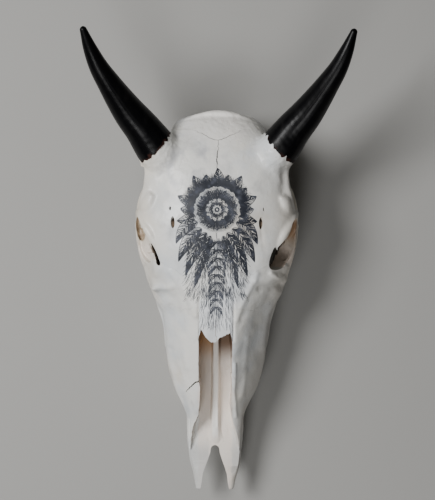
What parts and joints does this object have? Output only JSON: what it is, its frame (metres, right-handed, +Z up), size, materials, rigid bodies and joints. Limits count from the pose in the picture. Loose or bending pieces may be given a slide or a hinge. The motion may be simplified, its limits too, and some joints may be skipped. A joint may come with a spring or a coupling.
{
  "type": "animal skull",
  "caption": "Skull of a young wildebeest with black horns and no lower jaw, resting on its cheek teeth, forehead up.",
  "frame": {"origin": "on the floor under the middle of the bounding box", "axes": "+Z up through the forehead, -Y towards the nose, +X towards the animal's left side"},
  "size_m": [0.2686, 0.4673, 0.1771],
  "materials": {
    "bone": "dry off-white bone, faintly glossy",
    "horn": "smooth polished black horn"
  },
  "bodies": {
    "root": {"cranium": "bone", "occiput": "bone", "frontal_left": "bone", "frontal_right": "bone", "nasal_left": "bone", "nasal_right": "bone", "lacrimal_left": "bone", "lacrimal_right": "bone", "zygomatic_left": "bone", "zygomatic_right": "bone", "maxilla_left": "bone", "maxilla_right": "bone", "vomer": "bone", "horn_left": "horn", "horn_right": "horn"}
  },
  "joints": []
}
